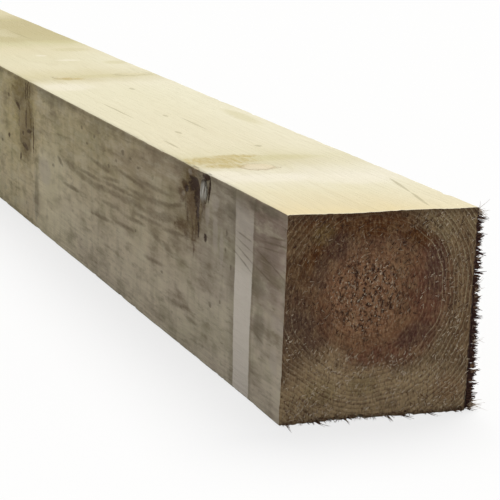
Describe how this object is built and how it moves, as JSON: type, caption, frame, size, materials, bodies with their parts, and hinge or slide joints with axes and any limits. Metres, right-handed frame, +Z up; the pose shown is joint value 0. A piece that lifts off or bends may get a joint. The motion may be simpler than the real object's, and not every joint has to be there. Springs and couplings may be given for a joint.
{
  "type": "treated timber post",
  "caption": "Square rough-sawn softwood post, pressure treated, with square-cut ends, for fences, gates and decks.",
  "frame": {"origin": "centre of the long face that the post lies on, halfway along the post", "axes": "+X along the post, towards the end whose grain is fully described; +Z up, square to the long face it lies on; +Y across the post"},
  "size_m": [1.8, 0.1, 0.1],
  "materials": {
    "treated_timber": "rough-sawn softwood, dry, matt, faint green treatment tint"
  },
  "bodies": {
    "root": {"timber_post": "treated_timber"}
  },
  "joints": []
}
